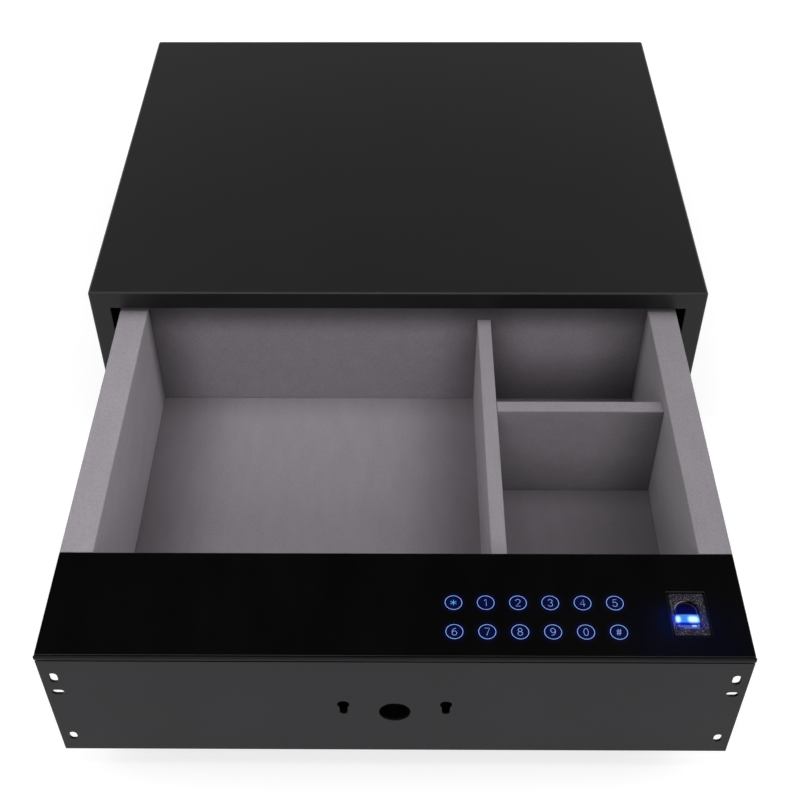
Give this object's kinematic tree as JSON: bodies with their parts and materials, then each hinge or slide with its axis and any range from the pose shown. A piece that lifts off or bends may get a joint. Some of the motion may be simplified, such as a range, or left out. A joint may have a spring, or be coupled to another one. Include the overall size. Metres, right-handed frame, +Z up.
{
  "type": "under desk drawer safe",
  "caption": "Flat steel safe with a lined pull-out drawer, dividers, a touch keypad and a fingerprint reader on its front box, and side bolts behind the case's lips.",
  "frame": {"origin": "centre of the case's underside", "axes": "+Z up, -Y the way the drawer opens, +X to the right seen from the front"},
  "size_m": [0.43, 0.6372, 0.13],
  "materials": {
    "satin_black_steel": "satin black powder coat",
    "charcoal_steel": "matt charcoal powder coat",
    "zinc_steel": "zinc plated",
    "bolt_steel": "ground steel",
    "brass": "machined",
    "black_glass": "gloss black, back-printed",
    "sensor_glass": "lit blue window",
    "black_plastic": "fine texture",
    "circuit_board": "solder mask",
    "plush": "short flock",
    "rubber": "moulded",
    "cell_wrap": "plain sleeve",
    "grey_cable": "ribbon cable"
  },
  "bodies": {
    "case": {"case_shell": "satin_black_steel", "case_base": "satin_black_steel", "case_back": "satin_black_steel", "slide_outer_left": "zinc_steel", "slide_bracket_left": "zinc_steel", "bracket_screw_front_left": "zinc_steel", "bracket_screw_rear_left": "zinc_steel", "rear_buffer_left": "rubber", "slide_outer_right": "zinc_steel", "slide_bracket_right": "zinc_steel", "bracket_screw_front_right": "zinc_steel", "bracket_screw_rear_right": "zinc_steel", "rear_buffer_right": "rubber"},
    "slide_middle_left": {"slide_middle_left": "zinc_steel"},
    "ball_cage_outer_left": {"ball_cage_outer_left": "bolt_steel"},
    "ball_cage_inner_left": {"ball_cage_inner_left": "bolt_steel"},
    "bolt_left": {"bolt_left": "bolt_steel"},
    "slide_middle_right": {"slide_middle_right": "zinc_steel"},
    "ball_cage_outer_right": {"ball_cage_outer_right": "bolt_steel"},
    "ball_cage_inner_right": {"ball_cage_inner_right": "bolt_steel"},
    "bolt_right": {"bolt_right": "bolt_steel"},
    "lock_pinion": {"lock_pinion": "brass"},
    "motor_gear": {"motor_gear": "brass"},
    "key_plug": {"key_plug": "brass"},
    "drawer": {"drawer_pan": "satin_black_steel", "drawer_front_wall": "satin_black_steel", "drawer_back_wall": "satin_black_steel", "front_housing": "satin_black_steel", "top_cover": "satin_black_steel", "front_plate": "charcoal_steel", "slide_inner_left": "zinc_steel", "bolt_guide_left": "black_plastic", "lining_left": "plush", "slide_inner_right": "zinc_steel", "bolt_guide_right": "black_plastic", "lining_right": "plush", "lock_plate": "zinc_steel", "lock_motor": "zinc_steel", "key_cylinder": "satin_black_steel", "pinion_bush": "brass", "touch_glass": "black_glass", "fingerprint_window": "sensor_glass", "fingerprint_frame": "black_plastic", "lock_gearbox": "black_plastic", "battery_holder": "black_plastic", "battery_door": "black_plastic", "keypad_board": "circuit_board", "sensor_board": "circuit_board", "control_board": "circuit_board", "keypad_ribbon": "grey_cable", "battery_1": "cell_wrap", "battery_2": "cell_wrap", "battery_3": "cell_wrap", "battery_4": "cell_wrap", "lining_back": "plush", "lining_front": "plush", "lining_floor": "plush", "divider_main": "plush", "divider_cross": "plush"}
  },
  "joints": [
    {"name": "drawer_slide", "type": "slide", "parent": "case", "child": "drawer", "axis": [0, -1, 0], "range_m": [-0.2872, 0]},
    {"name": "slide_middle_left_travel", "type": "slide", "parent": "case", "child": "slide_middle_left", "axis": [0, -1, 0], "range_m": [-0.1436, 0]},
    {"name": "ball_cage_outer_left_travel", "type": "slide", "parent": "case", "child": "ball_cage_outer_left", "axis": [0, -1, 0], "range_m": [-0.0718, 0]},
    {"name": "ball_cage_inner_left_travel", "type": "slide", "parent": "case", "child": "ball_cage_inner_left", "axis": [0, -1, 0], "range_m": [-0.2154, 0]},
    {"name": "slide_middle_right_travel", "type": "slide", "parent": "case", "child": "slide_middle_right", "axis": [0, -1, 0], "range_m": [-0.1436, 0]},
    {"name": "ball_cage_outer_right_travel", "type": "slide", "parent": "case", "child": "ball_cage_outer_right", "axis": [0, -1, 0], "range_m": [-0.0718, 0]},
    {"name": "ball_cage_inner_right_travel", "type": "slide", "parent": "case", "child": "ball_cage_inner_right", "axis": [0, -1, 0], "range_m": [-0.2154, 0]},
    {"name": "bolt_left_throw", "type": "slide", "parent": "drawer", "child": "bolt_left", "axis": [-1, 0, 0], "range_m": [0, 0.01885]},
    {"name": "bolt_right_throw", "type": "slide", "parent": "drawer", "child": "bolt_right", "axis": [1, 0, 0], "range_m": [0, 0.01885]},
    {"name": "lock_turn", "type": "hinge", "parent": "drawer", "child": "lock_pinion", "pos_m": [0, -0.403, 0.0586], "axis": [0, 1, 0], "range_deg": [0, 90.01]},
    {"name": "motor_gear_turn", "type": "hinge", "parent": "drawer", "child": "motor_gear", "pos_m": [0.021, -0.403, 0.0586], "axis": [0, 1, 0], "range_deg": [-120.02, 0]},
    {"name": "key_turn", "type": "hinge", "parent": "drawer", "child": "key_plug", "pos_m": [0, -0.4322, 0.0586], "axis": [0, 1, 0], "range_deg": [0, 90]}
  ],
  "couplings": [
    {"joint": "slide_middle_left_travel", "follows": "drawer_slide", "ratio": 0.5},
    {"joint": "ball_cage_outer_left_travel", "follows": "drawer_slide", "ratio": 0.25},
    {"joint": "ball_cage_inner_left_travel", "follows": "drawer_slide", "ratio": 0.75},
    {"joint": "slide_middle_right_travel", "follows": "drawer_slide", "ratio": 0.5},
    {"joint": "ball_cage_outer_right_travel", "follows": "drawer_slide", "ratio": 0.25},
    {"joint": "ball_cage_inner_right_travel", "follows": "drawer_slide", "ratio": 0.75},
    {"joint": "bolt_right_throw", "follows": "bolt_left_throw", "ratio": 1},
    {"joint": "lock_turn", "follows": "bolt_left_throw", "rad_per_m": 83.333},
    {"joint": "motor_gear_turn", "follows": "bolt_left_throw", "rad_per_m": -111.11}
  ]
}
